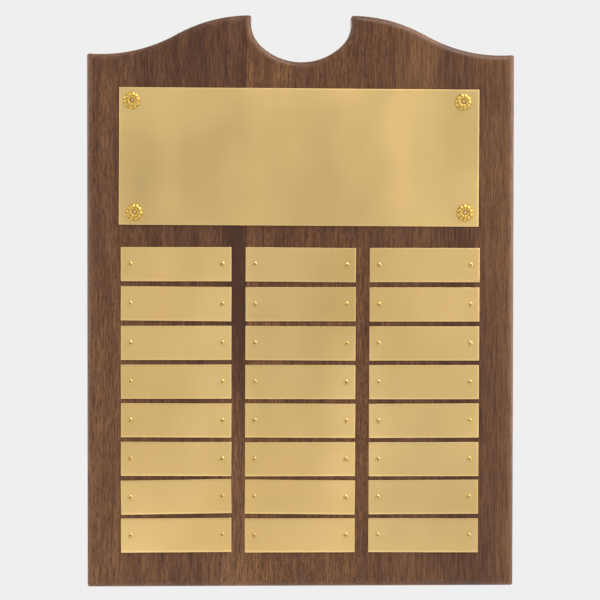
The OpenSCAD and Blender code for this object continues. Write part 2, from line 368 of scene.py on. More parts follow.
def makeMillimetres():
    # object coordinates in millimetres, moved by a seed so that no two boards share a figure
    tree, given, out = newGroup(
        "millimetres", ["Vector"], {"Seed": 0.0}, ["Place", "Shifted"], "NodeSocketVector"
    )
    grow = addNode(tree, "ShaderNodeVectorMath", operation="SCALE")
    grow.inputs["Scale"].default_value = 1 / mm
    wire(tree, given, "Vector", grow, 0)
    seed = addNode(tree, "ShaderNodeCombineXYZ")
    for axis, factor in enumerate(seedSteps):
        tree.links.new(mathNode(tree, "MULTIPLY", given.outputs["Seed"], factor), seed.inputs[axis])
    move = addNode(tree, "ShaderNodeVectorMath", operation="ADD")
    wire(tree, grow, 0, move, 0)
    wire(tree, seed, 0, move, 1)
    wire(tree, grow, 0, out, "Place")
    wire(tree, move, 0, out, "Shifted")
    return tree


# noise scales are cells per millimetre along X, Y and Z, with the grain upright
woodGrain = dict(
    bend=(0.012, 0.012, 0.0045),    # the slow sweep of the rings
    shake=(0.14, 0.14, 0.012),      # and their finer wavering,
    shakeReach=6.0,                 # in millimetres
    lateWood=(0.25, 0.92),          # where in a ring the late wood darkens
    ringEnd=0.93,
    streaks=(0.3, 0.3, 0.02),
    fibres=(1.25, 1.25, 0.06),
    fibreRange=(0.38, 0.58),
    pores=(1.7, 1.7, 0.2),
    poreRange=(0.53, 0.6),
    flecks=(0.85, 0.85, 0.3),
    fleckRange=(0.47, 0.66),
    clouds=(0.02, 0.02, 0.008),
)


def makeWoodFigure():
    # growth rings round a pith outside the board, with streaks, pores and flecks along the grain
    tree, given, out = newGroup(
        "wood figure", ["Place", "Shifted"],
        {"Pith X": 0.0, "Pith Y": 60.0, "Ring Width": 6.0, "Wander": 8.0},
        ["Rings", "Streaks", "Fibres", "Pores", "Flecks", "Clouds"],
    )
    split = addNode(tree, "ShaderNodeSeparateXYZ")
    wire(tree, given, "Place", split, 0)
    g, shifted = woodGrain, given.outputs["Shifted"]
    slow = stretchedNoise(tree, shifted, g["bend"], 2.0)
    bend = centred(tree, slow.outputs["Fac"], given.outputs["Wander"])
    jitter = stretchedNoise(tree, shifted, g["shake"], 3.0)
    shake = centred(tree, jitter.outputs["Fac"], g["shakeReach"])
    across = mathNode(tree, "SUBTRACT", split.outputs["X"], given.outputs["Pith X"])
    deep = mathNode(tree, "SUBTRACT", split.outputs["Y"], given.outputs["Pith Y"])
    squares = [mathNode(tree, "MULTIPLY", leg, leg) for leg in (across, deep)]
    fromPith = mathNode(tree, "SQRT", mathNode(tree, "ADD", *squares))
    radius = mathNode(tree, "ADD", mathNode(tree, "ADD", fromPith, bend), shake)
    phase = mathNode(tree, "FRACT", mathNode(tree, "DIVIDE", radius, given.outputs["Ring Width"]))
    late = mapRange(tree, phase, *g["lateWood"], smoothStep=True)
    drop = mapRange(tree, phase, g["ringEnd"], 1.0, 1.0, 0.0, smoothStep=True)
    tree.links.new(mathNode(tree, "MULTIPLY", late, drop), out.inputs["Rings"])
    streaks = stretchedNoise(tree, shifted, g["streaks"], 4.0, 0.6)
    tree.links.new(streaks.outputs["Fac"], out.inputs["Streaks"])
    fibres = stretchedNoise(tree, shifted, g["fibres"], 2.0, 0.6)
    tree.links.new(mapRange(tree, fibres.outputs["Fac"], *g["fibreRange"]), out.inputs["Fibres"])
    pores = stretchedNoise(tree, shifted, g["pores"], 2.0, 0.6)
    pored = mapRange(tree, pores.outputs["Fac"], *g["poreRange"], smoothStep=True)
    tree.links.new(pored, out.inputs["Pores"])
    flecks = stretchedNoise(tree, shifted, g["flecks"], 3.0, 0.65)
    tree.links.new(mapRange(tree, flecks.outputs["Fac"], *g["fleckRange"]), out.inputs["Flecks"])
    clouds = stretchedNoise(tree, shifted, g["clouds"], 2.0)
    tree.links.new(clouds.outputs["Fac"], out.inputs["Clouds"])
    return tree


brushMarks = dict(
    lines=(0.05, 1.0, 6.0),
    blotches=(0.014, 0.014, 0.011),
    bands=(0.035, 0.01, 0.003),
    lineColour=linear(170, 132, 78),
    lineShare=0.04,           # how much of that colour the deepest line shows
    lineRough=(-0.01, 0.02),
    bandRough=(-0.03, 0.03),
    lineBump=0.07,
    lineDepth=0.012 * mm,
)


def makeBrushing():
    # fine lines along X, as left by a brushing belt, and slow blotches of handling
    tree, given, out = newGroup("brushing", ["Place", "Shifted"], {}, ["Lines", "Blotches", "Bands"])
    for label, detail, roughness in (("Lines", 3.0, 0.6), ("Blotches", 2.0, 0.5), ("Bands", 3.0, 0.5)):
        scale = brushMarks[label.lower()]
        noise = stretchedNoise(tree, given.outputs["Shifted"], scale, detail, roughness)
        tree.links.new(noise.outputs["Fac"], out.inputs[label])
    return tree


millimetres = makeMillimetres()
woodFigure = makeWoodFigure()
brushing = makeBrushing()


# one look for each stave: fleck, streak, rings and pore are strengths; tones run across the board at its head
# and at its foot as (x in millimetres, tone from 0 dark to 1 light); spots are as in addSpots
walnutLooks = {
    "walnut_dark": dict(
        seed=1.0, pithX=-190.0, pithY=70.0, ringWidth=11.0, wander=30.0,
        fleck=0.35, streak=0.75, rings=0.16, pore=0.55,
        dark=linear(62, 35, 19), middle=linear(94, 61, 38), light=linear(121, 84, 54),
        tones=[(-139.5, 0.48), (-118, 0.44), (-98, 0.3), (-70, 0.22), (-46, 0.42), (-36, 0.32)],
        footTones=[(-139.5, 0.66), (-118, 0.74), (-98, 0.6), (-70, 0.42), (-46, 0.74), (-36, 0.86)],
        spots=[(-40, 38, 16, 132, -0.54)],
    ),
    "walnut_flecked": dict(
        seed=2.0, pithX=20.0, pithY=95.0, ringWidth=15.0, wander=34.0,
        fleck=0.6, streak=0.95, rings=0.2, pore=0.6,
        dark=linear(64, 36, 18), middle=linear(96, 62, 37), light=linear(125, 86, 52),
        tones=[(-35.5, 0.74), (-30, 0.6), (-25, 0.55), (0, 0.57), (30, 0.54), (62, 0.49)],
        footTones=[(-35.5, 0.74), (-26, 0.66), (0, 0.62), (30, 0.58), (62, 0.5)],
        spots=[(41, 3, 22, 70, -0.17), (0, 42, 46, 26, -0.16)],
    ),
    "walnut_plain": dict(
        seed=3.0, pithX=150.0, pithY=60.0, ringWidth=12.0, wander=26.0,
        fleck=0.2, streak=0.4, rings=0.06, pore=0.38,
        dark=linear(65, 38, 22), middle=linear(96, 63, 39), light=linear(121, 84, 54),
        tones=[(62, 0.52), (82, 0.64), (95, 0.12), (112, 0.3), (128, 0.48), (139.5, 0.56)],
        footTones=[(62, 0.4), (80, 0.34), (95, 0.22), (112, 0.04), (128, 0.3), (139.5, 0.5)],
        spots=[(131, 42, 24, 110, 0.22)],
    ),
}


walnutFinish = dict(
    footZ=-180.0,             # where the foot's tones and the head's are at their full, in millimetres
    headZ=150.0,
    fibreStrength=0.42,
    cloudStrength=0.55,
    poreColour=linear(48, 26, 14),
    roughness=(0.42, 0.5),
    poreRough=0.12,
    specular=0.2,
    coat=0.12,                # a thin hand-rubbed lacquer
    coatRough=0.28,
    streakRelief=0.3,
    bump=0.35,
    bumpDepth=0.05 * mm,
)


def addSpots(tree, split, spots, start):
    # start plus each spot's strength: a spot is (x, z, reach in x, reach in z, strength) in millimetres
    total = start
    for x, z, reachX, reachZ, strength in spots:
        squares = []
        for axis, at, reach in (("X", x, reachX), ("Z", z, reachZ)):
            off = mathNode(tree, "DIVIDE", mathNode(tree, "SUBTRACT", split.outputs[axis], at), reach)
            squares.append(mathNode(tree, "MULTIPLY", off, off))
        away = mathNode(tree, "ADD", *squares)
        total = mathNode(tree, "ADD", total, mapRange(tree, away, 0.0, 1.0, strength, 0.0, smoothStep=True))
    return total


def toneRamp(tree, x, tones):
    first, last = tones[0][0], tones[-1][0]
    stops = [((at - first) / (last - first), (tone, tone, tone, 1.0)) for at, tone in tones]
    return ramp(tree, mapRange(tree, x, first, last), stops)


def makeWalnut(name, look):
    f = walnutFinish
    material, tree, shader, coords = startMaterial(name)
    place = placeGroup(tree, millimetres, Seed=look["seed"])
    tree.links.new(coords, place.inputs["Vector"])
    figure = placeGroup(
        tree, woodFigure, **{
            "Pith X": look["pithX"], "Pith Y": look["pithY"],
            "Ring Width": look["ringWidth"], "Wander": look["wander"],
        }
    )
    wire(tree, place, "Place", figure, "Place")
    wire(tree, place, "Shifted", figure, "Shifted")
    # the slow change of tone across the board, which is not the same at its foot as at its head
    split = addNode(tree, "ShaderNodeSeparateXYZ")
    wire(tree, place, "Place", split, 0)
    head = toneRamp(tree, split.outputs["X"], look["tones"])
    foot = toneRamp(tree, split.outputs["X"], look["footTones"])
    up = mapRange(tree, split.outputs["Z"], f["footZ"], f["headZ"])
    tones = mathNode(
        tree, "ADD", mathNode(tree, "MULTIPLY", head, up),
        mathNode(tree, "MULTIPLY", foot, mathNode(tree, "SUBTRACT", 1.0, up)),
    )
    tones = addSpots(tree, split, look["spots"], tones)
    tone = mathNode(tree, "ADD", tones, centred(tree, figure.outputs["Streaks"], look["streak"]))
    tone = mathNode(tree, "ADD", tone, centred(tree, figure.outputs["Fibres"], f["fibreStrength"]))
    tone = mathNode(tree, "ADD", tone, centred(tree, figure.outputs["Clouds"], f["cloudStrength"]))
    rings = mathNode(tree, "MULTIPLY", figure.outputs["Rings"], look["rings"])
    tone = mathNode(tree, "SUBTRACT", tone, rings, clamp=True)
    colour = ramp(tree, tone, [(0.0, look["dark"]), (0.5, look["middle"]), (1.0, look["light"])])
    flecks = mathNode(tree, "MULTIPLY", figure.outputs["Flecks"], look["fleck"])
    flecked = mixColour(tree, flecks, colour, look["dark"])
    pores = mathNode(tree, "MULTIPLY", figure.outputs["Pores"], look["pore"])
    tree.links.new(mixColour(tree, pores, flecked, f["poreColour"]), shader.inputs["Base Color"])
    rough = mapRange(tree, figure.outputs["Streaks"], *noiseSpread, *f["roughness"])
    dry = mathNode(tree, "MULTIPLY", figure.outputs["Pores"], f["poreRough"])
    tree.links.new(mathNode(tree, "ADD", rough, dry), shader.inputs["Roughness"])
    shader.inputs["Specular IOR Level"].default_value = f["specular"]
    shader.inputs["Coat Weight"].default_value = f["coat"]
    shader.inputs["Coat Roughness"].default_value = f["coatRough"]
    relief = mathNode(tree, "MULTIPLY", figure.outputs["Streaks"], f["streakRelief"])
    height = mathNode(tree, "SUBTRACT", relief, figure.outputs["Pores"])
    bump = addNode(tree, "ShaderNodeBump", {"Strength": f["bump"], "Distance": f["bumpDepth"]})
    tree.links.new(height, bump.inputs["Height"])
    wire(tree, bump, "Normal", shader, "Normal")
    return material


def makeBrass(name, seed, tint, dull, rough, spots):
    b = brushMarks
    material, tree, shader, coords = startMaterial(name)
    place = placeGroup(tree, millimetres, Seed=seed)
    tree.links.new(coords, place.inputs["Vector"])
    marks = placeGroup(tree, brushing)
    wire(tree, place, "Place", marks, "Place")
    wire(tree, place, "Shifted", marks, "Shifted")
    blotch = mapRange(tree, marks.outputs["Blotches"], 0.35, 0.65)
    base = mixColour(tree, blotch, tint, dull)
    lines = mapRange(tree, marks.outputs["Lines"], 0.4, 0.7, 0.0, b["lineShare"])
    lined = mixColour(tree, lines, base, b["lineColour"])
    split = addNode(tree, "ShaderNodeSeparateXYZ")
    wire(tree, place, "Place", split, 0)
    # painted reflection: the spots darken or brighten the brass's colour where its reflections fall
    reflectionPainted = mixColour(tree, 1.0, lined, addSpots(tree, split, spots, 1.0), "MULTIPLY")
    tree.links.new(reflectionPainted, shader.inputs["Base Color"])
    shader.inputs["Metallic"].default_value = 1.0
    smoothest, roughest = b["lineRough"]
    spread = mapRange(tree, marks.outputs["Lines"], *noiseSpread, rough + smoothest, rough + roughest)
    bands = mapRange(tree, marks.outputs["Bands"], *noiseSpread, *b["bandRough"])
    tree.links.new(mathNode(tree, "ADD", spread, bands), shader.inputs["Roughness"])
    bump = addNode(tree, "ShaderNodeBump", {"Strength": b["lineBump"], "Distance": b["lineDepth"]})
    wire(tree, marks, "Lines", bump, "Height")
    wire(tree, bump, "Normal", shader, "Normal")
    return material


polishMarks = dict(
    mottle=(0.7, 0.7, 0.7),
    mottleRough=(-0.05, 0.1),
    pits=(6.0, 6.0, 6.0),
    pitBump=0.15,
    pitDepth=0.02 * mm,
)


def makePolished(name, seed, tint, dull, rough, grimeAndPaintedShade=None):
    # small turned or pressed parts: a slow mottle of tarnish, fine pitting and a darker colour where the
    # groove attribute asks for it, which is grime in a rosette's grooves and painted reflection and shadow on
    # a pin's head
    m = polishMarks
    material, tree, shader, coords = startMaterial(name)
    place = placeGroup(tree, millimetres, Seed=seed)
    tree.links.new(coords, place.inputs["Vector"])
    mottle = stretchedNoise(tree, place.outputs["Shifted"], m["mottle"], 3.0)
    pits = stretchedNoise(tree, place.outputs["Shifted"], m["pits"], 2.0)
    colour = mixColour(tree, mapRange(tree, mottle.outputs["Fac"], 0.35, 0.7), tint, dull)
    if grimeAndPaintedShade:
        groove = addNode(tree, "ShaderNodeAttribute", attribute_name="groove", attribute_type="GEOMETRY")
        colour = mixColour(tree, groove.outputs["Fac"], colour, grimeAndPaintedShade)
    tree.links.new(colour, shader.inputs["Base Color"])
    shader.inputs["Metallic"].default_value = 1.0
    smoothest, roughest = m["mottleRough"]
    spread = mapRange(tree, mottle.outputs["Fac"], *noiseSpread, rough + smoothest, rough + roughest)
    tree.links.new(spread, shader.inputs["Roughness"])
    bump = addNode(tree, "ShaderNodeBump", {"Strength": m["pitBump"], "Distance": m["pitDepth"]})
    tree.links.new(pits.outputs["Fac"], bump.inputs["Height"])
    wire(tree, bump, "Normal", shader, "Normal")
    return material


walnuts = {name: makeWalnut(name, look) for name, look in walnutLooks.items()}
# painted reflections: patches where the plates' colour is made darker or brighter in place of the room's
# uneven reflections in the satin brass
headerPaintedReflections = [
    (-85, 129, 45, 30, 0.15), (-112, 92, 26, 55, -0.11),
    (0, 138, 60, 16, 0.07), (104, 96, 40, 60, -0.07),
]
namePaintedReflections = [
    (0, -5, 52, 110, -0.11), (-83, 20, 50, 70, 0.06), (81, 20, 50, 70, 0.05),
    (83, -160, 60, 100, -0.2), (0, -160, 50, 50, -0.06), (81, -54, 50, 50, -0.08),
]
headerBrass = makeBrass("header brass", 11.0, linear(232, 199, 133), linear(213, 181, 122), 0.4, headerPaintedReflections)
nameBrass = makeBrass("name plate brass", 12.0, linear(231, 198, 135), linear(218, 185, 121), 0.38, namePaintedReflections)
gilt = makePolished("gilt", 13.0, linear(216, 184, 98), linear(178, 146, 68), 0.36, grimeAndPaintedShade=linear(88, 60, 28))
# the pins' darker colour is painted light: a painted dark reflection on each head's crown and a painted
# contact shadow round its rim
pinBrass = makePolished(
    "pin brass", 14.0, linear(202, 172, 108), linear(172, 143, 84), 0.36, grimeAndPaintedShade=linear(104, 80, 40)
)
pinBronze = makePolished("pin bronze", 15.0, linear(196, 156, 116), linear(160, 120, 86), 0.3)
zinc = makePolished("zinc", 16.0, linear(190, 194, 198), linear(166, 170, 174), 0.36)
passivated = makePolished("passivated steel", 17.0, linear(196, 184, 146), linear(170, 156, 118), 0.34)
print("stage 2: materials made")


boardShape = dict(
    hornRise=25.5 * mm,       # horn tips above the shoulders
    shoulderIn=9 * mm,        # from each side to the lowest point of the shoulder
    notchWidth=65.5 * mm,
    notchDepth=30.4 * mm,
    notchLip=4.7 * mm,        # from the widest line of the notch up to the horn tips
    notchSideRadius=21 * mm,
    cornerRadius=1.6 * mm,
    leastCorner=0.5 * mm,     # what is left of a corner's radius on the inner rings
    edgeRadius=4.8 * mm,
    edgeSteps=9,
    # steps of the foot, shoulder, hollow, full arc, horn tip, notch side and notch floor
    outlineSteps=(4, 4, 36, 36, 5, 22, 16),
    flatRim=0.3 * mm,         # a ring of the flat front that keeps its shading clean
    backEase=0.4 * mm,        # the sanded arris at the back
)


def heading(fromPoint, toPoint):
    return math.atan2(toPoint[1] - fromPoint[1], toPoint[0] - fromPoint[0])


def boardArcs(inset):
    # the right half of the outline as (centre, sweep, steps), from the bottom corner up to the notch
    s = boardShape
    corner = max(s["cornerRadius"] - inset, s["leastCorner"])
    halfWidth = boardHigh.x - inset
    shoulderZ = boardHigh.z - s["hornRise"]
    run = boardHigh.x - s["shoulderIn"] - s["notchWidth"] / 2
    ogee = (run ** 2 + s["hornRise"] ** 2) / (4 * s["hornRise"])
    hollow = (boardHigh.x - s["shoulderIn"], shoulderZ + ogee)
    full = (s["notchWidth"] / 2, boardHigh.z - ogee)
    half, drop, side = s["notchWidth"] / 2, s["notchDepth"] - s["notchLip"], s["notchSideRadius"]
    bottom = (half ** 2 + drop ** 2 - 2 * half * side) / (2 * (drop - side))
    sideCentre = (half - side, boardHigh.z - s["notchLip"])
    bottomCentre = (0.0, boardHigh.z - s["notchDepth"] + bottom)

    foot = (halfWidth - corner, boardLow.z + inset + corner)
    reach = halfWidth - corner - hollow[0]
    shoulder = (halfWidth - corner, hollow[1] - math.sqrt((ogee + inset + corner) ** 2 - reach ** 2))
    # the horn's tip touches the full arc from inside and the notch's side from outside
    outer, inner = ogee - inset - corner, side + inset + corner
    gap = math.hypot(sideCentre[0] - full[0], sideCentre[1] - full[1])
    way = ((sideCentre[0] - full[0]) / gap, (sideCentre[1] - full[1]) / gap)
    along = (gap ** 2 + outer ** 2 - inner ** 2) / (2 * gap)
    off = math.sqrt(outer ** 2 - along ** 2)
    horn = (full[0] + way[0] * along + way[1] * off, full[1] + way[1] * along - way[0] * off)

    toHollow, ogeeTurn = heading(shoulder, hollow), heading(full, hollow)
    hornTop, hornSide = heading(full, horn), heading(sideCentre, horn)
    notchTurn = heading(bottomCentre, sideCentre)
    turns = [
        (foot, math.pi / 2),
        (shoulder, toHollow),
        (hollow, ogeeTurn - toHollow),
        (full, hornTop - ogeeTurn),
        (horn, math.pi + hornSide - hornTop),
        (sideCentre, notchTurn - hornSide),
        (bottomCentre, -math.pi / 2 - notchTurn),
    ]
    return corner, [(centre, sweep, steps) for (centre, sweep), steps in zip(turns, s["outlineSteps"])]


def drawBoardRing(inset, y, firstRing):
    corner, arcs = boardArcs(inset)
    foot, shoulder = arcs[0][0], arcs[1][0]
    start = (foot[0], y, foot[1] - corner)
    if firstRing:
        startPen("boardBlank", *start)
    else:
        liftPen(*start)
    drawArc(*arcs[0])
    drawLine(0, 0, shoulder[1] - foot[1])
    for arc in arcs[1:]:
        drawArc(*arc)
    for centre, sweep, steps in reversed(arcs[1:]):
        drawArc((-centre[0], centre[1]), sweep, steps)
    drawLine(0, 0, foot[1] - shoulder[1])
    drawArc((-foot[0], foot[1]), arcs[0][1], arcs[0][2])
    drawLine(2 * foot[0], 0, 0)
    closeOutline()


def makeBlank():
    s = boardShape
    radius, steps = s["edgeRadius"], s["edgeSteps"]
    rings = [(s["backEase"], 0.0), (0.0, -s["backEase"])]
    for i in range(steps + 1):
        a = math.pi / 2 * i / steps
        rings.append((radius * (1 - math.cos(a)), frontY + radius * (1 - math.sin(a))))
    for number, (inset, y) in enumerate(rings):
        drawBoardRing(inset, y, number == 0)
        bpy.ops.mesh.select_all(action="DESELECT")
        bpy.ops.mesh.select_non_manifold()
        if number == 0:
            bpy.ops.mesh.edge_face_add()
        else:
            bpy.ops.mesh.bridge_edge_loops()
    bpy.ops.mesh.select_all(action="DESELECT")
    bpy.ops.mesh.select_non_manifold()
    bpy.ops.mesh.edge_face_add()
    bpy.ops.mesh.inset(thickness=s["flatRim"], use_even_offset=True)
    return finishSolid(bpy.context.object)


def sawStave(blank, name, fromX, toX):
    stave = copyOf(blank, name)
    for x, keepRight in ((fromX, True), (toX, False)):
        if x is None:
            continue
        editAll(stave)
        bpy.ops.mesh.bisect(
            plane_co=(x, 0, 0), plane_no=(1, 0, 0), use_fill=True,
            clear_inner=keepRight, clear_outer=not keepRight,
        )
    bpy.ops.object.mode_set(mode="OBJECT")
    return stave


hangerShape = dict(
    entryRadius=4.5 * mm,
    slotWidth=4.6 * mm,
    travel=10 * mm,
    pocketDepth=10 * mm,
    pocketRoom=2 * mm,        # round the wall screw's head
    pocketOver=2 * mm,        # past the keyhole's two ends
    recessRoom=0.25 * mm,
    headRadius=2.8 * mm,
    shankRadius=1.4 * mm,
    screwLength=11 * mm,
    screwTip=0.28 * mm,
    headBand=0.12 * mm,       # the straight edge of a screw's head
    driverSlot=0.8 * mm,      # width and depth
    seatRoom=0.2 * mm,        # round a screw's head
    shankRoom=0.1 * mm,
    softEdge=0.15 * mm,
    over=1 * mm,              # how far a cutter stands proud of what it cuts
    firstTurn=35,             # degrees that the driver slots are turned by
    nextTurn=70,
    slotSteps=20,
    keyholeSteps=(16, 32),
    turnedSteps=28,
)


def drawSlot(name, x, z, width, length, depth, y):
    # a block with round ends, from y into the board
    half = (length - width) / 2
    piece = startPen(name, x + width / 2, y, z - half)
    drawLine(0, 0, 2 * half)
    drawArc((x, z + half), math.pi, hangerShape["slotSteps"])
    drawLine(0, 0, -2 * half)
    drawArc((x, z - half), math.pi, hangerShape["slotSteps"])
    return pullOut(piece, depth)


def drawKeyhole(name, x, z, entry, width, depth, y):
    travel = hangerShape["travel"]
    topSteps, entrySteps = hangerShape["keyholeSteps"]
    low, high = z - travel / 2, z + travel / 2
    join = math.asin(width / 2 / entry)  # where the slot's sides meet the round entry
    piece = startPen(name, x + width / 2, y, low + entry * math.cos(join))
    drawLine(0, 0, high - low - entry * math.cos(join))
    drawArc((x, high), math.pi, topSteps)
    drawLine(0, 0, low - high + entry * math.cos(join))
    drawArc((x, low), math.tau - 2 * join, entrySteps)
    return pullOut(piece, depth)


def hangerPlace(side):
    low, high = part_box(f"keyhole_hanger_{side}")
    return (low + high) / 2, high - low


def cutHangerSeat(stave, side):
    s = hangerShape
    middle, size = hangerPlace(side)
    over, room = s["over"], 2 * s["recessRoom"]
    recess = drawSlot("recess", middle.x, middle.z, size.x + room, size.z + room, size.y + over, over)
    carve(stave, recess)
    pocketWidth = 2 * (s["entryRadius"] + s["pocketRoom"])
    pocket = drawSlot(
        "pocket", middle.x, middle.z, pocketWidth, pocketWidth + s["travel"] + 2 * s["pocketOver"],
        s["pocketDepth"] + over, over,
    )
    carve(stave, pocket)


def makeHanger(side):
    s = hangerShape
    middle, size = hangerPlace(side)
    plate = drawSlot(f"keyhole_hanger_{side}", middle.x, middle.z, size.x, size.z, size.y, 0.0)
    over = s["over"]
    softenEdges(plate, s["softEdge"], 2, 50)
    depth = size.y + 2 * over
    hole = drawKeyhole("keyhole", middle.x, middle.z, s["entryRadius"], s["slotWidth"], depth, over)
    carve(plate, hole)
    top, bottom = s["headRadius"] + s["seatRoom"], s["shankRadius"] + s["shankRoom"]
    for x, z in screwPlaces:
        if abs(x - middle.x) < size.x:
            # the cone runs on past the plate's back, so that the cut leaves one clean rim
            sink = lathe("sink", [
                (0, over), (top + over, over), (bottom, bottom - top), (bottom, -depth), (0, -depth),
            ], s["turnedSteps"])
            sink.data.transform(onBack(x, z))
            carve(plate, sink)
    editAll(plate)
    bpy.ops.mesh.remove_doubles(threshold=mm / 200)
    bpy.ops.object.mode_set(mode="OBJECT")
    smooth(plate)
    return finishPiece(plate, "hanger_steel", zinc, f"keyhole_hanger_{side}")


def makeHangerScrews():
    s = hangerShape
    head, shank, length, band = s["headRadius"], s["shankRadius"], s["screwLength"], s["headBand"]
    screws = []
    for number, (x, z) in enumerate(screwPlaces):
        screw = lathe("screw", [
            (0, 0), (head, 0), (head, -band), (shank, -(head - shank) - band),
            (shank, -length + 3 * shank), (s["screwTip"], -length), (0, -length),
        ], s["turnedSteps"])
        slot = startPen("driverSlot", -head * 1.2, 0, -s["driverSlot"] / 2)
        drawLine(head * 2.4, 0, 0)
        drawLine(0, 0, s["driverSlot"])
        drawLine(-head * 2.4, 0, 0)
        pullOut(slot, 2 * s["over"])
        # stand the slot's block across the head, its floor as deep as the slot is wide
        proud = 2 * s["over"] - s["driverSlot"]
        slot.data.transform(Matrix.Rotation(-math.pi / 2, 4, "X") @ Matrix.Translation((0, proud, 0)))
        carve(screw, slot)
        turn = Matrix.Rotation(math.radians(s["firstTurn"] + s["nextTurn"] * number), 4, "Z")
        screw.data.transform(onBack(x, z) @ turn)
        screws.append(screw)
    selectOnly(*screws)
    bpy.ops.object.join()
    group = rename(bpy.context.object, "hanger_screws")
    smooth(group, 30)
    return finishPiece(group, "screw_steel", passivated, "hanger_screws")


screwPlaces = headCentres("hanger_screws", lambda v: v.y > -0.2 * mm, 8 * mm)


def makeBoard():
    blank = makeBlank()
    nodes = {
        "board_stave_left": (None, leftGlue, "walnut_dark"),
        "board_stave_centre": (leftGlue, rightGlue, "walnut_flecked"),
        "board_stave_right": (rightGlue, None, "walnut_plain"),
    }
    for node, (fromX, toX, slotName) in nodes.items():
        stave = sawStave(blank, node, fromX, toX)
        for side in ("left", "right"):
            middle = hangerPlace(side)[0].x
            if (fromX or boardLow.x) < middle < (toX or boardHigh.x):
                cutHangerSeat(stave, side)
        smooth(stave, 25)
        finishPiece(stave, slotName, walnuts[slotName], node)
    bpy.data.objects.remove(blank)


makeBoard()
print("stage 3: board sawn")


plateShape = dict(
    gridStep=1.6 * mm,
    softEdge=0.14 * mm,
    edgeSettle=0.2,           # of the soft edge, that the front is set back by
    thicknessShare=0.98,      # of the plate's thickness in the frame
    bow=0.16 * mm,            # how far the middle of a name plate stands off the wood
    headerBow=0.3 * mm,
    dimple=0.1 * mm,          # how far a pin pulls the plate down
    dimpleReach=4.2 * mm,
    mostTwist=0.35,
    mostLean=0.5,
    twistShare=0.25,          # of the bow, at a corner
    leanShare=0.3,
    deepest=0.3,              # how far down it may be drawn, as a share of its thickness
)


def falloff(distance, reach):
    t = min(distance / reach, 1.0)
    return (1 - t * t) ** 2


def makePlate(name, place, slotName, material, holes, bow, luck):
    s = plateShape
    width, height = place["width"], place["height"]
    selectOnly()
    bpy.ops.mesh.primitive_grid_add(
        x_subdivisions=round(width / s["gridStep"]), y_subdivisions=round(height / s["gridStep"]), size=1
    )
    plate = rename(bpy.context.object, name)
    plate.data.transform(Matrix.Diagonal((width, height, 1, 1)))
    twist = luck.uniform(-s["mostTwist"], s["mostTwist"])
    lean = luck.uniform(-s["mostLean"], s["mostLean"])
    for v in plate.data.vertices:
        u, w = 2 * v.co.x / width, 2 * v.co.y / height
        lift = bow * (1 - u * u) * (1 + s["leanShare"] * lean * w) + bow * s["twistShare"] * twist * u * w
        for hx, hy in holes:
            lift -= s["dimple"] * falloff(math.hypot(v.co.x - hx, v.co.y - hy), s["dimpleReach"])
        v.co.z = plateThickness + max(lift, -s["deepest"] * plateThickness) - s["softEdge"] * s["edgeSettle"]
    solid = plate.modifiers.new("thickness", "SOLIDIFY")
    solid.thickness = plateThickness * s["thicknessShare"]
    solid.offset = -1
    applyAll(plate)
    softenEdges(plate, s["softEdge"], 2, 50)
    plate.data.transform(onFace(place["x"], place["z"], frontY, place["turn"]))
    smooth(plate, 50)
    return finishPiece(plate, slotName, material, name)


def plateHoles(place, centres):
    # pin centres in the plate's own X and Y
    level = Matrix.Rotation(place["turn"], 2)
    local = [level @ Vector((x - place["x"], z - place["z"])) for x, z in centres]
    return [p for p in local if abs(p.x) < place["width"] / 2 and abs(p.y) < place["height"] / 2]


pinPlaces = headCentres("name_plate_pins", lambda v: v.y < plateFrontY - 0.1 * mm, 4 * mm)
rosettePinPlaces = headCentres("rosette_pins", lambda v: v.y < plateFrontY - 1.3 * mm, 4 * mm)
luck = random.Random(4)
header = plateFrame("header_plate")
makePlate(
    "header_plate", header, "header_brass", headerBrass, plateHoles(header, rosettePinPlaces),
    plateShape["headerBow"], luck,
)
nameNodes = sorted(n for n in frame["nodes"] if n.startswith("name_plate_r"))
for node in nameNodes:
    place = plateFrame(node)
    makePlate(node, place, "name_brass", nameBrass, plateHoles(place, pinPlaces), plateShape["bow"], luck)
print("stage 4: plates laid")


pinShape = dict(
    steps=24,
    domeSteps=7,
    brim=0.12 * mm,
    shankRadius=0.65 * mm,
    proud=0.04 * mm,          # a name plate pin's head above the flat plate
    rosetteHead=1.25 * mm,
    mostLean=3.0,             # degrees
    crownPaintedReflection=0.7,           # painted dark reflection on the crown, and how far down the dome it goes
    crownReach=0.7,
    rimPaintedShadow=0.8,             # painted contact shadow in the ring where the head meets the plate
    rimFrom=0.95,
    undercut=0.97,            # radius of the head's underside
)


def makePin(name, headRadius, headHeight, shankRadius, length):
    s = pinShape
    rise = headHeight - s["brim"]
    dome = (headRadius ** 2 + rise ** 2) / (2 * rise)
    top = headHeight - dome
    sweep = math.asin(min(headRadius / dome, 1.0))
    profile = []
    for i in range(s["domeSteps"] + 1):
        a = sweep * i / s["domeSteps"]
        profile.append((dome * math.sin(a), top + dome * math.cos(a)))
    profile += [(headRadius * s["undercut"], 0.0), (shankRadius, 0.0)]
    profile += [(shankRadius, 2 * shankRadius - length), (0.0, -length)]
    pin = lathe(name, profile, s["steps"])
    # the head has no grooves: this attribute holds painted light, a painted dark reflection on the crown and
    # a painted contact shadow round the rim
    groove = pin.data.attributes.new("groove", "FLOAT", "POINT")
    for v in pin.data.vertices:
        away = math.hypot(v.co.x, v.co.y) / headRadius
        rimShadow = s["rimPaintedShadow"] if away > s["rimFrom"] else 0.0
        groove.data[v.index].value = rimShadow + s["crownPaintedReflection"] * falloff(away, s["crownReach"])
    smooth(pin, 40)
    return pin


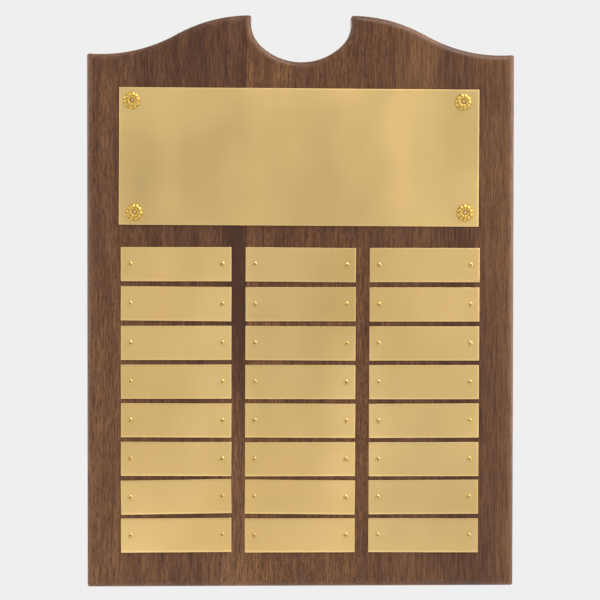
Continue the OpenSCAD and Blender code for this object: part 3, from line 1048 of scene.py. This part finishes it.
def setPins(node, places, seatY, headRadius, slotName, material):
    # one pin at each place, with its head from seatY out to the front of the node's own box
    low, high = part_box(node)
    headHeight = seatY - low.y
    pattern = makePin("pattern", headRadius, headHeight, pinShape["shankRadius"], high.y - seatY)
    pins = []
    for x, z in places:
        pin = copyOf(pattern, "pin")
        lean = math.radians(luck.uniform(-pinShape["mostLean"], pinShape["mostLean"]))
        leaned = Matrix.Rotation(lean, 4, (luck.random(), luck.random(), 0))
        pin.data.transform(onFace(x, z, seatY) @ leaned)
        pins.append(pin)
    bpy.data.objects.remove(pattern)
    selectOnly(*pins)
    bpy.ops.object.join()
    group = rename(bpy.context.object, node)
    return finishPiece(group, slotName, material, node)


def headSize(node, beyond, reach):
    heads = clusters([v for v in nodeVertices(node) if beyond(v)], reach)
    return max(max(p.x for p in g) - min(p.x for p in g) for g in heads) / 2


pinHeadRadius = headSize("name_plate_pins", lambda v: v.y < plateFrontY + 0.01 * mm, 5 * mm)
setPins("name_plate_pins", pinPlaces, plateFrontY - pinShape["proud"], pinHeadRadius, "pin_brass", pinBrass)


rosetteShape = dict(
    petals=10,
    stepsPerPetal=12,
    seat=1.2 * mm,            # height of the seat for the pin's head
    seatRadius=1.45 * mm,
    seatWall=(1.12, 0.74),    # where the wall round the seat ends, in seat radii and in heights
    bore=0.75 * mm,
    # the section of the ring of petals, as shares of the rosette's radius and height
    ring=[
        (0.36, 0.86), (0.46, 0.95), (0.58, 1.0), (0.7, 0.96), (0.81, 0.85), (0.9, 0.66), (0.965, 0.42),
        (1.0, 0.18), (1.0, 0.0),
    ],
    groove=0.55 * mm,
    grooveInner=0.35,         # what is left of a groove's depth at the seat
    grooveFrom=(1.05, 0.1),   # grooves start outside this, in seat radii and in heights
    roundness=0.55,           # less makes broader petals and narrower grooves
    scallop=0.1,
    scallopFrom=0.75,         # as a share of the radius
    grimeAndPaintedShade=0.85,               # how much of the metal the dirt in a groove hides
    grimeEdge=1.3,
    firstTurn=7,              # degrees
    nextTurn=11,
)


def makeRosette(node, spin):
    s = rosetteShape
    low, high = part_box(node)
    radius, height = (high.x - low.x) / 2, high.y - low.y
    seatRadius, rimFrom, inner = s["seatRadius"], s["scallopFrom"], s["grooveInner"]
    wallRadius, wallHeight = s["seatWall"]
    outside, above = s["grooveFrom"]
    profile = [(s["bore"], 0.0), (s["bore"], s["seat"]), (seatRadius, s["seat"])]
    profile.append((seatRadius * wallRadius, wallHeight * height))
    profile += [(r * radius, h * height) for r, h in s["ring"]]
    profile.append((s["bore"], 0.0))
    flower = lathe(node, profile, s["petals"] * s["stepsPerPetal"])
    groove = flower.data.attributes.new("groove", "FLOAT", "POINT")
    for v in flower.data.vertices:
        r = math.hypot(v.co.x, v.co.y)
        angle = math.atan2(v.co.y, v.co.x) + spin
        ridge = abs(math.cos(angle * s["petals"] / 2)) ** s["roundness"]  # 1 on a petal's back, 0 in a groove
        outward = min(max((r - seatRadius) / (radius - seatRadius), 0.0), 1.0)
        groove.data[v.index].value = (1 - ridge) ** s["grimeEdge"] * s["grimeAndPaintedShade"]
        if v.co.z > above * height and r > seatRadius * outside:
            v.co.z -= s["groove"] * (1 - ridge) * (inner + (1 - inner) * outward) * v.co.z / height
        if r > rimFrom * radius:
            pull = 1 - s["scallop"] * (1 - ridge) * (r / radius - rimFrom) / (1 - rimFrom)
            v.co.x *= pull
            v.co.y *= pull
    middle = (low + high) / 2
    flower.data.transform(onFace(middle.x, middle.z, plateFrontY))
    smooth(flower, 50)
    return finishPiece(flower, "rosette_gilt", gilt, node)


rosetteNodes = sorted(n for n in frame["nodes"] if n.startswith("rosette_") and n != "rosette_pins")
for number, node in enumerate(rosetteNodes):
    makeRosette(node, math.radians(rosetteShape["firstTurn"] + rosetteShape["nextTurn"] * number))
rosetteSeatY = plateFrontY - rosetteShape["seat"]
setPins("rosette_pins", rosettePinPlaces, rosetteSeatY, pinShape["rosetteHead"], "pin_bronze", pinBronze)
makeHanger("left")
makeHanger("right")
makeHangerScrews()
print("stage 5: pins, rosettes and hangers set")


studio = dict(
    backdrop=linear(239, 239, 239),
    floorColour=linear(232, 232, 231),
    floorRough=0.9,
    floorShine=0.1,
    floorDrop=160 * mm,       # the plaque hangs this far above the floor
    floorSize=8.0,
    floorSteps=96,
    floorFade=(0.35, 0.8),    # metres from the plaque over which the floor becomes the backdrop
    frontStrength=0.74,       # of the room's own light
    sideStrength=1.0,
    roomFade=(-0.9, -0.1),    # from the front towards the sides, along a unit direction's Y
    # name, place, width and height in metres, and power in watts
    softboxes=[
        ("left softbox", (-1.5, -1.0, 0.5), (1.5, 2.0), 9),
        ("right softbox", (1.5, -1.0, 0.5), (1.5, 2.0), 17),
        ("top softbox", (0.6, -0.5, 1.5), (1.4, 0.7), 24),
        ("left strip", (-1.3, 0.12, 0.1), (0.4, 1.6), 9),
        ("right strip", (1.3, 0.12, 0.1), (0.4, 1.6), 15),
        ("back softbox", (0.0, 1.8, 0.8), (1.6, 1.0), 14),
    ],
)


def makeFloor():
    selectOnly()
    bpy.ops.mesh.primitive_circle_add(
        vertices=studio["floorSteps"], radius=studio["floorSize"], fill_type="NGON"
    )
    floor = rename(bpy.context.object, "floor")
    floor.data.transform(Matrix.Translation((0, 0, boardLow.z - studio["floorDrop"])))
    material, tree, shader, coords = startMaterial("floor")
    shader.inputs["Base Color"].default_value = studio["floorColour"]
    shader.inputs["Roughness"].default_value = studio["floorRough"]
    shader.inputs["Specular IOR Level"].default_value = studio["floorShine"]
    # the floor turns into the backdrop away from the plaque, so that no horizon shows
    flat = addNode(tree, "ShaderNodeVectorMath", operation="MULTIPLY")
    flat.inputs[1].default_value = (1, 1, 0)
    tree.links.new(coords, flat.inputs[0])
    length = addNode(tree, "ShaderNodeVectorMath", operation="LENGTH")
    wire(tree, flat, 0, length, 0)
    fade = mapRange(tree, length.outputs["Value"], *studio["floorFade"], smoothStep=True)
    glow = addNode(tree, "ShaderNodeEmission", {"Color": studio["backdrop"], "Strength": 1.0})
    mix = addNode(tree, "ShaderNodeMixShader")
    tree.links.new(fade, mix.inputs["Fac"])
    wire(tree, shader, "BSDF", mix, 1)
    wire(tree, glow, "Emission", mix, 2)
    wire(tree, mix, "Shader", tree.nodes["Material Output"], "Surface")
    floor.data.materials.append(material)


def makeWorld():
    world = bpy.data.worlds.new("studio")
    world.use_nodes = True
    tree = world.node_tree
    background = tree.nodes["Background"]
    background.inputs["Color"].default_value = studio["backdrop"]
    # the room is brighter at the sides and behind the plaque than in front of it
    coords = addNode(tree, "ShaderNodeTexCoord")
    split = addNode(tree, "ShaderNodeSeparateXYZ")
    wire(tree, coords, "Generated", split, 0)
    strengths = studio["frontStrength"], studio["sideStrength"]
    room = mapRange(tree, split.outputs["Y"], *studio["roomFade"], *strengths, smoothStep=True)
    seen = addNode(tree, "ShaderNodeLightPath")
    # the camera itself sees the backdrop at full strength everywhere
    missing = mathNode(tree, "SUBTRACT", 1.0, room)
    plain = mathNode(tree, "MULTIPLY", missing, seen.outputs["Is Camera Ray"])
    tree.links.new(mathNode(tree, "ADD", room, plain), background.inputs["Strength"])
    bpy.context.scene.world = world


def softbox(name, place, size, power):
    # a rectangular lamp that faces the frame's origin
    lamp = bpy.data.lights.new(name, "AREA")
    lamp.shape = "RECTANGLE"
    lamp.size, lamp.size_y = size
    lamp.energy = power
    box = bpy.data.objects.new(name, lamp)
    box.location = place
    box.rotation_euler = (-Vector(place)).to_track_quat("-Z", "Y").to_euler()
    bpy.context.collection.objects.link(box)


cameraView = dict(
    distance=1.2,
    yaw=math.radians(1.54),   # the camera stands a little to the left
    pitch=math.radians(1.06),  # and a little high
    roll=math.radians(0.06),
    aim=(-0.23 * mm, 0.0, 0.63 * mm),
    lens=108.63,
    sensor=36,
)


def makeCamera():
    v = cameraView
    camera = bpy.data.objects.new("camera", bpy.data.cameras.new("camera"))
    bpy.context.collection.objects.link(camera)
    level = math.cos(v["pitch"])
    forward = Vector((math.sin(v["yaw"]) * level, math.cos(v["yaw"]) * level, -math.sin(v["pitch"])))
    camera.location = Vector(v["aim"]) - forward * v["distance"]
    facing = forward.to_track_quat("-Z", "Y").to_matrix() @ Matrix.Rotation(v["roll"], 3, "Z")
    camera.rotation_euler = facing.to_euler()
    camera.data.lens = v["lens"]
    camera.data.sensor_width = v["sensor"]
    bpy.context.scene.camera = camera


makeFloor()
makeWorld()
for name, place, size, power in studio["softboxes"]:
    softbox(name, place, size, power)
makeCamera()
bpy.context.scene.view_settings.view_transform = "Standard"
print("stage 6: studio set")
